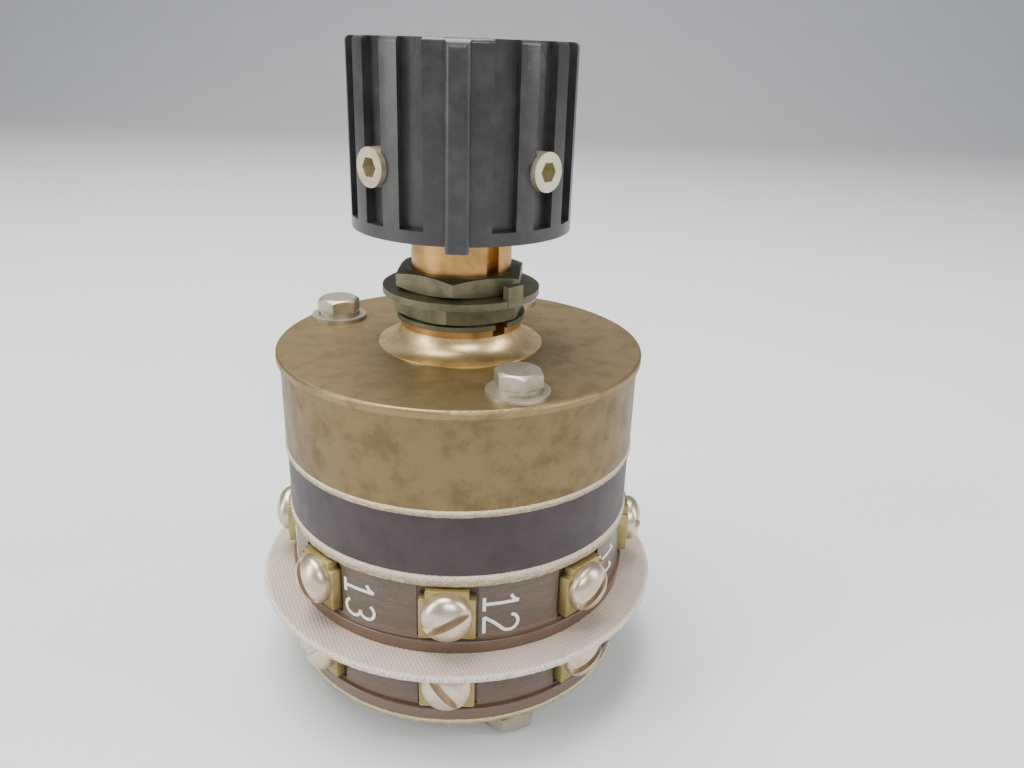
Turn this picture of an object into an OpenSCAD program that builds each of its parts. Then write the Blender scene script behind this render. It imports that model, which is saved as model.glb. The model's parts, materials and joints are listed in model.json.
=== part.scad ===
// Two-section tapped wirewound rheostat for panel mounting: a fluted knob on a
// threaded bushing, a metal can with the rotation stop, and two rings of screw
// terminals that each hold a resistance winding and a wiper.
// Millimetres, +Z up, the shaft axis is Z and the bolt tips stand on Z = 0.
// Azimuths count from the front (-Y) towards +X.

/* [Stacked plates and rings] */
// Radius of the terminal rings over their lip, and of the thick plate on them
deck_lip_r = 21.8; // [21:0.1:24]
// Distance from the lip's edge in to the numbered wall of a terminal ring
deck_wall_inset = 0.8; // [0.5:0.05:0.9]
// Width of a terminal ring from its bore to its lip
deck_ring_w = 5.8; // [5.6:0.1:6]
// Height of each terminal ring
deck_h = 8.8; // [8.2:0.1:10]
// Height of the lip up to its cove
deck_lip_h = 1.6; // [1.2:0.1:1.8]
// Height of the cove between lip and wall
deck_cove_h = 1; // [0.6:0.1:1.4]
// Distance of the bottom plate's edge inside the lip
base_plate_inset = 0.04; // [0:0.01:0.3]
// Thickness of the bottom plate
base_plate_t = 0.7; // [0.6:0.05:1.2]
// Distance that the fabric barrier disc stands out from the lips
barrier_out = 3.96; // [1:0.02:6]
// Thickness of the barrier disc
barrier_t = 0.8; // [0.6:0.05:1.4]
// Thickness of the thick plate above the terminal rings
deck_plate_t = 1.6; // [1.2:0.1:2.4]
// Distance of the dark spacer ring's edge inside the lip
spacer_inset = 0.2; // [0:0.05:0.6]
// Width of the spacer ring from its bore to its edge
spacer_w = 5.8; // [5.4:0.1:7]
// Height of the spacer ring
spacer_h = 7.3; // [6.5:0.1:10]
// Distance that the thin plate below the can stands out from the lip
gasket_out = 0.12; // [0:0.02:0.5]
// Thickness of the thin plate
gasket_t = 0.85; // [0.6:0.05:1.4]

/* [Can and cover] */
// Distance of the can's wall inside the lip of the rings
can_inset = 0.05; // [-0.3:0.05:0.4]
// Wall thickness of the can
can_wall = 0.8; // [0.5:0.1:1.2]
// Height of the can below its lip
can_h = 10.25; // [9:0.05:14]
// Thickness of the can's floor
can_floor_t = 0.8; // [0.6:0.1:1.2]
// Distance that the can's rolled lip stands out from its wall
can_lip_out = 0.25; // [0.1:0.05:0.6]
// Thickness of the rolled lip
can_lip_t = 0.45; // [0.3:0.05:0.8]
// Distance that the cover plate stands out from the rolled lip
cover_out = 0.225; // [0:0.025:0.6]
// Thickness of the cover plate
cover_t = 0.93; // [0.8:0.01:1.6]
// Rounding of the cover's upper rim
cover_round = 0.35; // [0.1:0.05:0.6]

/* [Through bolts] */
// Diameter of the through bolts
bolt_d = 2.84; // [2.4:0.02:3.2]
// Distance from the lip of the rings in to the middle of the bolts
bolt_inset = 3.5; // [3.3:0.05:3.6]
// Azimuth of the front bolt
bolt_az = 22; // [16:0.5:26]
// Angle from the front bolt to each of the two others
bolt_spread = 138; // [134:1:142]
// Width across flats of the bolt heads
bolt_head_af = 4.76; // [4.4:0.02:5.6]
// Height of the bolt heads
bolt_head_h = 1.7; // [1.2:0.1:2.4]
// Width across flats of the nuts under the bottom plate
bolt_nut_af = 6.35; // [5.5:0.05:6.6]
// Height of the nuts
bolt_nut_h = 2.4; // [1.8:0.1:3]
// Length of bolt that shows below the nuts
bolt_tip = 0.5; // [0.3:0.1:1.5]
// Outside diameter of the flat washers
flat_washer_d = 7; // [6:0.1:7.6]
// Thickness of the flat washers
flat_washer_t = 0.5; // [0.4:0.05:0.9]
// Outside diameter of the split lock washers
lock_washer_d = 5.3; // [4.8:0.1:6]
// Thickness of the split lock washers
lock_washer_t = 0.55; // [0.4:0.05:0.9]
// Width of the split in the lock washers
lock_washer_split = 0.7; // [0.4:0.1:1]
// Angle by which the bolt heads are turned
bolt_head_turn = 20; // [0:5:55]
// Radial clearance of the bolts in washers and plates
bolt_clear = 0.15; // [0.1:0.01:0.25]

/* [Bushing and its nuts] */
// Thread radius of the bushing
bushing_r = 5.953; // [5.7:0.001:6.2]
// Length of thread that shows above the mounting nut
thread_showing = 4.2; // [3:0.1:8]
// Radius of the bushing inside the cover and the collar
bushing_neck_r = 6.5; // [6.4:0.05:6.8]
// Radius of the shoulder on top of the collar
shoulder_r = 7.3; // [7.2:0.05:7.6]
// Thickness of the shoulder
shoulder_t = 0.9; // [0.6:0.05:1.4]
// Radius of the riveted rim under the cover
rivet_rim_r = 7.6; // [7.2:0.1:8.4]
// Thickness of the riveted rim
rivet_rim_t = 0.8; // [0.5:0.1:1.2]
// Radius of the soldered collar where it meets the cover
collar_r = 10; // [9:0.1:11]
// Height of the soldered collar
collar_h = 2.5; // [2:0.1:4]
// Thickness of the collar's thin edges, at its foot and at its top
collar_edge = 0.15; // [0.05:0.05:0.4]
// Width of the keyway in the bushing
keyway_w = 1.76; // [1.2:0.02:2.2]
// Depth of the keyway below the thread
keyway_depth = 1.1; // [0.6:0.05:1.6]
// Azimuth of the keyway
keyway_az = 40; // [30:1:50]
// Clearance of the locating washer's key in the keyway
key_clear = 0.1; // [0.05:0.05:0.3]
// Radius of the thin washer under the depth nut
shoulder_washer_r = 7.75; // [7.4:0.05:8.4]
// Thickness of that thin washer
shoulder_washer_t = 0.6; // [0.4:0.05:1]
// Width across flats of both bushing nuts
bushing_nut_af = 14.29; // [13.6:0.01:15]
// Height of the lower, depth-setting nut
depth_nut_h = 2.4; // [1.8:0.1:3.5]
// Azimuth of one corner of the depth nut
depth_nut_az = -9; // [-30:1:30]
// Height of the upper, mounting nut
mounting_nut_h = 2.3; // [1.8:0.1:3.5]
// Azimuth of one corner of the mounting nut
mounting_nut_az = -4; // [-30:1:30]
// Radius of the locating washer
locating_washer_r = 9.4; // [9.2:0.05:10.4]
// Thickness of the locating washer
locating_washer_t = 0.8; // [0.5:0.05:1.2]
// Azimuth of the washer's upturned tab
tab_az = 44; // [36:1:50]
// Width of the upturned tab
tab_w = 2.3; // [1.6:0.1:3]
// Radial thickness of the upturned tab
tab_t = 0.9; // [0.6:0.05:1]
// Height of the tab above the washer
tab_h = 1.6; // [1:0.1:3]
// Radial clearance of nuts and washers on the thread
thread_clear = 0.03; // [0.01:0.01:0.08]

/* [Knob] */
// Radius of the knob
knob_r = 12.7; // [12:0.1:15]
// Height of the knob
knob_h = 20.1; // [18:0.1:24]
// Gap between the bushing and the knob
knob_gap = 0.65; // [0.4:0.05:2]
// Rounding of the knob's upper edge
knob_round = 0.5; // [0.2:0.1:1]
// Height of the plain rim under the flutes
knob_rim_h = 1.4; // [0.8:0.1:3]
// Number of places round the knob: flutes and one pointer rib
flute_places = 16; // [14:1:18]
// Width of each flute
flute_w = 2.75; // [2:0.05:3]
// Depth of each flute
flute_depth = 1.1; // [0.5:0.05:1.5]
// Azimuth of the pointer rib
pointer_az = 0.7; // [-3:0.1:3]
// Width of the pointer rib
pointer_w = 2.6; // [1.8:0.1:3]
// Distance that the rib stands out from the knob
pointer_out = 1.2; // [0.6:0.1:1.6]
// Distance that the rib hangs below the knob
pointer_drop = 0.5; // [0.2:0.1:0.6]
// Rounding of the rib's upper end
pointer_round = 1; // [0.5:0.1:1.5]
// Radius of the recess under the knob
knob_recess_r = 9.6; // [9:0.1:10.5]
// Depth of the recess under the knob
knob_recess_h = 1.6; // [1:0.1:3]
// Radius of the brass insert
insert_r = 5.5; // [5:0.1:6.5]
// Length of the brass insert
insert_h = 14; // [13:0.5:16]
// Distance of the shaft's end below the top of the insert
shaft_end_inset = 1; // [0.2:0.1:2]
// Diameter of the set screws
set_screw_d = 4.17; // [3.5:0.01:4.8]
// Height of the set screws above the knob's bottom
set_screw_z = 7.4; // [6:0.1:10]
// Angle from the pointer to each set screw
set_screw_angle = 45; // [45:22.5:90]
// Distance that the set screws stand out from the knob
set_screw_out = 0.5; // [0.1:0.1:1]
// Width across flats of the set screws' hexagon sockets
socket_af = 1.98; // [1.5:0.01:2.5]
// Depth of the hexagon sockets
socket_depth = 2; // [1:0.1:3]

/* [Shaft and stop] */
// Radius of the shaft
shaft_r = 3.175; // [3:0.005:3.3]
// Radial running clearance of shaft and rod in their bearings
bearing_clear = 0.04; // [0.02:0.01:0.08]
// Radial clearance of pieces that are fixed on the shaft
seat_clear = 0.025; // [0.01:0.005:0.04]
// Clearance between faces that turn against each other
face_clear = 0.1; // [0.06:0.01:0.2]
// Thickness of the thrust washer
thrust_washer_t = 0.5; // [0.3:0.1:0.8]
// Height of the conical spring washer
spring_washer_h = 0.9; // [0.6:0.1:1.2]
// Sheet thickness of the spring washer
spring_washer_t = 0.3; // [0.2:0.05:0.4]
// Radius of thrust and spring washer
thrust_washer_r = 6.4; // [5.5:0.1:7]
// Thickness of the stop disc
stop_disc_t = 2.4; // [1.8:0.1:3]
// Radius of the stop disc's hub
stop_hub_r = 6.4; // [5.5:0.1:7.5]
// Radius at the end of the stop disc's finger
stop_finger_r = 12.8; // [12:0.1:13.5]
// Width of the finger
stop_finger_w = 3; // [2:0.1:4]
// Diameter of the two stop pins
stop_pin_d = 3; // [2:0.1:3.5]
// Radius of the circle on which the stop pins stand
stop_pin_circle_r = 10.8; // [10:0.1:11.4]
// Distance of the stop pins' ends below the top of the stop disc
stop_pin_inset = 0.6; // [0.2:0.1:1]
// Angle left free between finger and pin at each end of the travel
stop_play = 0.6; // [0.3:0.1:1.5]
// Radius of the retaining ring
retaining_ring_r = 4.9; // [4.4:0.1:5.4]
// Thickness of the retaining ring
retaining_ring_t = 0.7; // [0.5:0.1:1]
// Depth of the ring's groove in the shaft
ring_groove = 0.5; // [0.3:0.05:0.7]
// Radius of the insulating shaft coupling
coupling_r = 6.2; // [5.6:0.1:7.2]
// Height of the coupling
coupling_h = 6; // [5.4:0.1:6.4]
// Diameter of the coupling's cross pins
coupling_pin_d = 1.6; // [1.2:0.1:1.8]
// Distance of the pins' ends inside the coupling
coupling_pin_inset = 0.2; // [0:0.1:0.8]
// Width across the two flats of the insulating rod
rod_flats = 5.2; // [5:0.05:5.8]
// Radius of the holes that shaft and rod pass freely
passage_r = 4.4; // [4:0.1:5]
// Radius of the rear bush in the bottom plate
rear_bush_r = 4.6; // [4.2:0.1:5.2]
// Radius of the rear bush's flange
rear_flange_r = 6.4; // [6:0.1:7.5]
// Thickness of the rear bush's flange
rear_flange_t = 0.8; // [0.5:0.1:1.2]

/* [Terminals] */
// Number of terminals in each ring
terminal_count = 8; // [6:1:8]
// Azimuth of the front terminal
terminal_az = -0.6; // [-2:0.1:2]
// Height of the terminal screws above the foot of their ring
terminal_z = 5.1; // [4.9:0.05:5.4]
// Depth of a terminal slot below the lip's edge
slot_depth = 1.5; // [1.4:0.05:1.65]
// Width of a terminal slot
slot_w = 7.1; // [6.9:0.1:7.6]
// Height of the slot's floor above the foot of its ring
slot_foot = 1.7; // [1.2:0.1:2]
// Thickness of the terminal plates
plate_t = 0.8; // [0.6:0.05:1]
// Width of the terminal plates
plate_w = 6.6; // [6:0.1:6.8]
// Width of the tab at each end of a terminal plate
plate_tab_w = 4.6; // [4:0.1:5.2]
// Length of the lower tab
plate_foot_tab = 1; // [0.6:0.1:1.1]
// Height of a plate's wide part
plate_body_h = 5; // [4.6:0.1:6]
// Clearance of a terminal plate in its slot
plate_clear = 0.1; // [0.05:0.05:0.2]
// Diameter of the terminal screws' thread
screw_d = 2.84; // [2.4:0.02:3]
// Diameter of the screw heads
screw_head_d = 5.78; // [5.2:0.02:6.2]
// Height of the screw heads
screw_head_h = 2; // [1.6:0.1:2.4]
// Height of the straight edge of a screw head
screw_edge_h = 0.6; // [0.4:0.1:1]
// Width of the screwdriver slot
screw_slot_w = 1; // [0.7:0.05:1.2]
// Depth of the screwdriver slot
screw_slot_depth = 1; // [0.6:0.1:1.2]
// Angle by which the slots of the upper screws are turned
upper_slot_turn = 33; // [-90:1:90]
// Angle by which the slots of the lower screws are turned
lower_slot_turn = -20; // [-90:1:90]
// Radial clearance of the terminal screws in ring and plate
screw_clear = 0.05; // [0.02:0.01:0.1]

/* [Windings and wipers] */
// Distance from the bore of a ring in to its winding
winding_gap = 0.3; // [0.2:0.05:0.5]
// Radial thickness of a winding
winding_w = 2.5; // [2:0.1:3]
// Distance from the contact arm up to the collector ring
collector_gap = 0.6; // [0.4:0.05:0.8]
// Height of the shelf on which a winding stands
shelf_h = 1.2; // [0.8:0.1:1.4]
// Width of that shelf
shelf_w = 3.4; // [3:0.1:3.8]
// Radial thickness of the strip that is wound
former_w = 1.3; // [0.8:0.1:1.5]
// Distance of the strip's edges inside the winding, above and below
former_inset = 0.5; // [0.4:0.1:1]
// Angle by which a winding runs past its end taps
winding_overrun = 5; // [3:0.5:8]
// Angle by which the strip runs past its winding
former_overrun = 4; // [2:0.5:8]
// Number of turns drawn in each winding
winding_turns = 96; // [60:2:140]
// Depth of the furrow between two turns
turn_relief = 0.16; // [0.05:0.01:0.25]
// Width of the tap straps and of the collector's leg
strap_w = 3; // [2:0.1:4]
// Height of the tap straps
strap_h = 4.4; // [4:0.1:4.8]
// Radius of the wiper hubs
wiper_hub_r = 5.2; // [4.8:0.1:6]
// Height of the wiper hubs
wiper_hub_h = 2.6; // [2:0.1:4]
// Thickness of the contact arms
arm_t = 0.4; // [0.3:0.05:0.5]
// Width of a contact arm at its brushes
arm_w = 3; // [2.4:0.1:3.6]
// Distance from the winding up to the contact arm
arm_lift = 0.6; // [0.45:0.05:0.7]
// Radius of the contact brushes
brush_r = 1.1; // [0.8:0.1:1.2]
// Radius of the shank that rivets a brush in its arm
brush_shank_r = 0.6; // [0.4:0.05:0.7]
// Radius of the riveted ends of the brushes
brush_rivet_r = 1; // [0.8:0.05:1.1]
// Height of the riveted ends of the brushes
brush_rivet_h = 0.3; // [0.2:0.05:0.35]
// Inside radius of the collector rings
collector_bore_r = 5.5; // [5.3:0.1:6]
// Outside radius of the collector rings
collector_r = 8.3; // [7.8:0.1:9]
// Thickness of the collector rings
collector_t = 0.4; // [0.3:0.05:0.5]

/* [Hidden] */

$fn = 96;
cut = 0.5;  // how far a cutter runs past the face that it opens
hair = 0.01;  // margin that keeps two faces from coinciding
chamfer_inset = 0.2;  // from the flats of a hexagon in to the circle of its chamfer
keyway_runout = 0.3;  // depth of the keyway below the foot of the shoulder

// Radii of the stack, from the lip of the terminal rings
deck_wall_r = deck_lip_r - deck_wall_inset;
deck_bore_r = deck_lip_r - deck_ring_w;
slot_floor_r = deck_lip_r - slot_depth;
bolt_circle_r = deck_lip_r - bolt_inset;
base_plate_r = deck_lip_r - base_plate_inset;
barrier_r = deck_lip_r + barrier_out;
deck_plate_r = deck_lip_r;
spacer_r = deck_lip_r - spacer_inset;
spacer_bore_r = spacer_r - spacer_w;
gasket_r = deck_lip_r + gasket_out;
can_r = deck_lip_r - can_inset;
can_lip_r = can_r + can_lip_out;
cover_r = can_lip_r + cover_out;
winding_r = deck_bore_r - winding_gap;
shelf_r = deck_bore_r - shelf_w;

// Heights of the faces in the stack, from the bolt tips up
z_base = bolt_nut_h + bolt_tip;
z_lower_deck = z_base + base_plate_t;
z_barrier = z_lower_deck + deck_h;
z_upper_deck = z_barrier + barrier_t;
z_deck_plate = z_upper_deck + deck_h;
z_spacer = z_deck_plate + deck_plate_t;
z_gasket = z_spacer + spacer_h;
z_can = z_gasket + gasket_t;
z_cover = z_can + can_h + can_lip_t;
z_cover_top = z_cover + cover_t;

// Heights of the faces on the bushing
z_shoulder = z_cover_top + collar_h;
z_shoulder_washer = z_shoulder + shoulder_t;
z_depth_nut = z_shoulder_washer + shoulder_washer_t;
z_locating_washer = z_depth_nut + depth_nut_h;
z_mounting_nut = z_locating_washer + locating_washer_t;
z_bushing_top = z_mounting_nut + mounting_nut_h + thread_showing;
z_keyway = z_shoulder - keyway_runout;
z_knob = z_bushing_top + knob_gap;
z_insert = z_knob + knob_recess_h;
z_set_screws = z_knob + set_screw_z;

// Heights in the can, from the cover down
z_rivet_rim = z_cover - rivet_rim_t;
z_thrust_washer = z_rivet_rim - face_clear - thrust_washer_t;
z_spring_washer = z_thrust_washer - spring_washer_h;
z_stop_disc = z_spring_washer - stop_disc_t;
z_retaining_ring = z_stop_disc - retaining_ring_t;

// Heights of the coupling and of the joint between shaft and rod
z_coupling = z_spacer + (spacer_h - coupling_h) / 2;
z_shaft_end = z_coupling + coupling_h / 2;
coupling_gap = 0.1;

// Heights in a terminal ring, above its foot
collector_z = deck_h - collector_t;
arm_z = collector_z - collector_gap - arm_t;
winding_top = arm_z - arm_lift;
winding_h = winding_top - shelf_h;
plate_foot = slot_foot + plate_clear;

// Angles: the taps run clockwise from the one to the right of the front
terminal_pitch = 360 / terminal_count;
travel_left = (terminal_count - 3) * terminal_pitch;
travel_right = terminal_pitch;
first_tap_az = terminal_az + terminal_pitch;
last_tap_az = terminal_az - travel_left;
collector_az = terminal_az + 2 * terminal_pitch;

bore_r = shaft_r + seat_clear;
rod_end_clear = 0.1;

function tap_az(i) = first_tap_az - i * terminal_pitch;
function polar(r, azimuth) = [r * sin(azimuth), -r * cos(azimuth)];

// ---- shared shapes ----

module ring(outer_r, inner_r, h) {
    difference() {
        cylinder(h = h, r = outer_r);
        translate([0, 0, -cut]) cylinder(h = h + 2 * cut, r = inner_r);
    }
}

// A ring section from one azimuth on through an angle
module arc_bar(inner_r, outer_r, h, from_az, angle) {
    rotate([0, 0, from_az - 90]) rotate_extrude(angle = angle)
        translate([inner_r, 0]) square([outer_r - inner_r, h]);
}

module on_bolt_circle() {
    for (a = [bolt_az, bolt_az + bolt_spread, bolt_az - bolt_spread])
        rotate([0, 0, a]) translate([0, -bolt_circle_r, 0]) children();
}

module at_each_terminal() {
    for (i = [0 : terminal_count - 1]) rotate([0, 0, tap_az(i)]) children();
}

module bolt_holes(z, h) {
    translate([0, 0, z]) on_bolt_circle() cylinder(h = h, r = bolt_d / 2 + bolt_clear);
}

// A round plate of the stack with its bolt holes and its centre hole
module stack_plate(r, centre_r, h) {
    difference() {
        ring(r, centre_r, h);
        bolt_holes(-cut, h + 2 * cut);
    }
}

// Hexagon with its corners turned away by a cone at its top and, if chosen, at its foot
module hexagon(af, h, chamfer, chamfer_foot = true) {
    corner_r = af / sqrt(3);
    flat_r = af / 2 - chamfer_inset;
    foot_r = chamfer_foot ? flat_r : corner_r;
    intersection() {
        cylinder(h = h, r = corner_r, $fn = 6);
        rotate_extrude() polygon([
            [0, 0], [foot_r, 0], [corner_r + hair, chamfer], [corner_r + hair, h - chamfer],
            [flat_r, h], [0, h]
        ]);
    }
}

module bushing_nut(h) {
    chamfer = 0.45;
    difference() {
        rotate([0, 0, -90]) hexagon(bushing_nut_af, h, chamfer);
        translate([0, 0, -cut]) cylinder(h = h + 2 * cut, r = bushing_r + thread_clear);
    }
}

// Cutter for the bushing's keyway, open outwards
module keyway(inner_r, outer_r, z, h) {
    rotate([0, 0, keyway_az]) translate([-keyway_w / 2, -outer_r, z]) cube([keyway_w, outer_r - inner_r, h]);
}

// ---- the stack ----

module base_plate() {
    color([0.62, 0.56, 0.36]) translate([0, 0, z_base])
        stack_plate(base_plate_r, rear_bush_r, base_plate_t);
}

// Terminal ring: numbered wall, cove and lip, a shelf for the winding, and a
// slot and a screw hole for every terminal
module deck_ring() {
    difference() {
        rotate_extrude() difference() {
            polygon([
                [shelf_r, 0], [deck_lip_r, 0], [deck_lip_r, deck_lip_h],
                [deck_wall_r, deck_lip_h + deck_cove_h], [deck_wall_r, deck_h],
                [deck_bore_r, deck_h], [deck_bore_r, shelf_h], [shelf_r, shelf_h]
            ]);
            translate([deck_wall_r + deck_cove_h, deck_lip_h + deck_cove_h]) circle(r = deck_cove_h);
        }
        bolt_holes(-cut, deck_h + 2 * cut);
        at_each_terminal() {
            translate([-slot_w / 2, -deck_lip_r - cut, slot_foot])
                cube([slot_w, deck_lip_r + cut - slot_floor_r, deck_h - slot_foot + cut]);
            translate([-plate_tab_w / 2 - plate_clear, -deck_lip_r - cut, slot_foot - plate_foot_tab])
                cube([plate_tab_w + 2 * plate_clear, deck_lip_r + cut - slot_floor_r, deck_h]);
            translate([0, 0, terminal_z]) rotate([90, 0, 0]) translate([0, 0, deck_bore_r - cut])
                cylinder(h = deck_lip_r - deck_bore_r + cut, r = screw_d / 2 + screw_clear);
        }
    }
}

module lower_deck_ring() { color([0.2, 0.15, 0.1]) translate([0, 0, z_lower_deck]) deck_ring(); }
module upper_deck_ring() { color([0.2, 0.15, 0.1]) translate([0, 0, z_upper_deck]) deck_ring(); }

module barrier_disc() {
    color([0.72, 0.64, 0.52]) translate([0, 0, z_barrier]) stack_plate(barrier_r, passage_r, barrier_t);
}

module deck_plate() {
    color([0.7, 0.6, 0.42]) translate([0, 0, z_deck_plate])
        stack_plate(deck_plate_r, passage_r, deck_plate_t);
}

module spacer_ring() {
    color([0.16, 0.1, 0.1]) translate([0, 0, z_spacer]) stack_plate(spacer_r, spacer_bore_r, spacer_h);
}

module gasket_plate() {
    color([0.7, 0.62, 0.46]) translate([0, 0, z_gasket]) stack_plate(gasket_r, passage_r, gasket_t);
}

module can_shell() {
    color([0.36, 0.3, 0.16]) translate([0, 0, z_can]) difference() {
        rotate_extrude() polygon([
            [passage_r, 0], [can_r, 0], [can_r, can_h], [can_lip_r, can_h],
            [can_lip_r, can_h + can_lip_t], [can_r - can_wall, can_h + can_lip_t],
            [can_r - can_wall, can_floor_t], [passage_r, can_floor_t]
        ]);
        bolt_holes(-cut, can_floor_t + 2 * cut);
        stop_pin_places() translate([0, 0, -cut]) cylinder(h = can_floor_t + 2 * cut, d = stop_pin_d);
    }
}

module cover_plate() {
    color([0.42, 0.36, 0.2]) translate([0, 0, z_cover]) difference() {
        rotate_extrude() {
            square([cover_r - cover_round, cover_t]);
            square([cover_r, cover_t - cover_round]);
            translate([cover_r - cover_round, cover_t - cover_round]) circle(r = cover_round);
        }
        translate([0, 0, -cut]) cylinder(h = cover_t + 2 * cut, r = bushing_neck_r);
        bolt_holes(-cut, cover_t + 2 * cut);
    }
}

// ---- through bolts ----

z_lock_washer = z_cover_top + flat_washer_t;
z_bolt_head = z_lock_washer + lock_washer_t;

module through_bolts() {
    chamfer = 0.4;
    color([0.7, 0.58, 0.3]) on_bolt_circle() {
        cylinder(h = z_bolt_head + cut, d = bolt_d);
        translate([0, 0, z_bolt_head]) rotate([0, 0, bolt_head_turn])
            hexagon(bolt_head_af, bolt_head_h, chamfer, false);
    }
}

module bolt_flat_washers() {
    color([0.6, 0.52, 0.3]) translate([0, 0, z_cover_top]) on_bolt_circle()
        ring(flat_washer_d / 2, bolt_d / 2 + bolt_clear, flat_washer_t);
}

module bolt_lock_washers() {
    split_turn = -35;
    color([0.75, 0.7, 0.5]) translate([0, 0, z_lock_washer]) on_bolt_circle() difference() {
        ring(lock_washer_d / 2, bolt_d / 2 + bolt_clear, lock_washer_t);
        rotate([0, 0, split_turn]) translate([0, -lock_washer_split / 2, -cut])
            cube([lock_washer_d, lock_washer_split, lock_washer_t + 2 * cut]);
    }
}

module bolt_nuts() {
    chamfer = 0.35;
    color([0.7, 0.58, 0.3]) translate([0, 0, z_base - bolt_nut_h]) on_bolt_circle() difference() {
        hexagon(bolt_nut_af, bolt_nut_h, chamfer);
        translate([0, 0, -cut]) cylinder(h = bolt_nut_h + 2 * cut, r = bolt_d / 2 + thread_clear);
    }
}

// ---- bushing, collar, washers and nuts ----

module threaded_bushing() {
    chamfer = 0.4;
    color([0.6, 0.42, 0.2]) difference() {
        rotate_extrude() polygon([
            [shaft_r + bearing_clear, z_rivet_rim], [rivet_rim_r, z_rivet_rim], [rivet_rim_r, z_cover],
            [bushing_neck_r, z_cover], [bushing_neck_r, z_shoulder], [shoulder_r, z_shoulder],
            [shoulder_r, z_shoulder_washer], [bushing_r, z_shoulder_washer],
            [bushing_r, z_bushing_top - chamfer], [bushing_r - chamfer, z_bushing_top],
            [shaft_r + bearing_clear, z_bushing_top]
        ]);
        keyway(bushing_r - keyway_depth, shoulder_r + cut, z_keyway, z_bushing_top - z_keyway + cut);
    }
}

// Ring of solder and brass with a hollow flank, wide at the cover
module bushing_collar() {
    flank = collar_r - shoulder_r;
    color([0.85, 0.66, 0.3]) translate([0, 0, z_cover_top]) rotate_extrude() difference() {
        translate([bushing_neck_r, 0]) square([collar_r - bushing_neck_r, collar_h]);
        translate([collar_r, collar_h]) scale([flank, collar_h - collar_edge]) circle(r = 1);
    }
}

module shoulder_washer() {
    color([0.5, 0.46, 0.24]) difference() {
        translate([0, 0, z_shoulder_washer])
            ring(shoulder_washer_r, bushing_r + thread_clear, shoulder_washer_t);
        keyway(bushing_r, shoulder_washer_r + cut, z_shoulder_washer - cut, shoulder_washer_t + 2 * cut);
    }
}

module depth_nut() {
    color([0.72, 0.62, 0.25]) translate([0, 0, z_depth_nut])
        rotate([0, 0, depth_nut_az]) bushing_nut(depth_nut_h);
}

// Washer with a key in the bushing's keyway and a tab that is bent up for the panel
module locating_washer() {
    key_w = keyway_w - 2 * key_clear;
    key_l = cut + keyway_depth - key_clear;
    color([0.75, 0.55, 0.25]) translate([0, 0, z_locating_washer]) {
        ring(locating_washer_r, bushing_r + thread_clear, locating_washer_t);
        rotate([0, 0, keyway_az]) translate([-key_w / 2, -bushing_r - cut, 0])
            cube([key_w, key_l, locating_washer_t]);
        rotate([0, 0, tab_az]) translate([-tab_w / 2, -locating_washer_r, 0])
            cube([tab_w, tab_t, locating_washer_t + tab_h]);
    }
}

module mounting_nut() {
    color([0.45, 0.42, 0.3]) translate([0, 0, z_mounting_nut])
        rotate([0, 0, mounting_nut_az]) bushing_nut(mounting_nut_h);
}

// ---- knob ----

module knob_body() {
    difference() {
        rotate_extrude() {
            square([knob_r, knob_h - knob_round]);
            square([knob_r - knob_round, knob_h]);
            translate([knob_r - knob_round, knob_h - knob_round]) circle(r = knob_round);
        }
        for (i = [1 : flute_places - 1])
            rotate([0, 0, pointer_az + i * 360 / flute_places])
                translate([-flute_w / 2, -knob_r - cut, knob_rim_h])
                    cube([flute_w, flute_depth + cut, knob_h]);
    }
}

// Rib from inside the knob out to its edge, rounded along its upper end
module pointer_rib() {
    root_r = knob_r - 2 * flute_depth;
    tip_r = knob_r + pointer_out;
    rib_h = knob_h + pointer_drop;
    rotate([0, 0, pointer_az]) translate([0, 0, -pointer_drop]) intersection() {
        linear_extrude(rib_h) {
            translate([-pointer_w / 2, -tip_r + pointer_w / 4]) square([pointer_w, tip_r - root_r]);
            for (side = [-1, 1]) translate([side * pointer_w / 4, -tip_r + pointer_w / 4])
                circle(d = pointer_w / 2, $fn = 32);
            translate([-pointer_w / 4, -tip_r]) square([pointer_w / 2, pointer_w / 2]);
        }
        rotate([90, 0, 90]) translate([0, 0, -pointer_w]) linear_extrude(2 * pointer_w) {
            translate([-tip_r, 0]) square([tip_r, rib_h - pointer_round]);
            translate([-tip_r + pointer_round, 0]) square([tip_r - pointer_round, rib_h]);
            translate([-tip_r + pointer_round, rib_h - pointer_round]) circle(r = pointer_round);
        }
    }
}

module at_set_screws() {
    for (side = [-1, 1]) rotate([0, 0, pointer_az + side * set_screw_angle])
        translate([0, 0, z_set_screws]) rotate([90, 0, 0]) children();
}

module knob() {
    color([0.04, 0.04, 0.045]) difference() {
        translate([0, 0, z_knob]) {
            knob_body();
            pointer_rib();
        }
        translate([0, 0, z_knob - cut]) cylinder(h = knob_recess_h + cut, r = knob_recess_r);
        translate([0, 0, z_knob]) cylinder(h = knob_recess_h + insert_h, r = insert_r);
        at_set_screws() cylinder(h = knob_r + cut, r = set_screw_d / 2 + seat_clear);
    }
}

module knob_insert() {
    color([0.78, 0.62, 0.3]) difference() {
        translate([0, 0, z_insert]) ring(insert_r, bore_r, insert_h);
        at_set_screws() cylinder(h = insert_r + cut, r = set_screw_d / 2 + seat_clear);
    }
}

module knob_set_screws() {
    tip_r = knob_r + set_screw_out;
    cup_h = 0.6;
    color([0.75, 0.72, 0.65]) at_set_screws() difference() {
        union() {
            translate([0, 0, bore_r + cup_h]) cylinder(h = tip_r - bore_r - cup_h, d = set_screw_d);
            translate([0, 0, bore_r]) cylinder(h = cup_h, d1 = set_screw_d - 2 * cup_h, d2 = set_screw_d);
        }
        translate([0, 0, tip_r - socket_depth])
            cylinder(h = socket_depth + cut, d = socket_af / cos(30), $fn = 6);
    }
}

// ---- shaft and rotation stop ----

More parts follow.
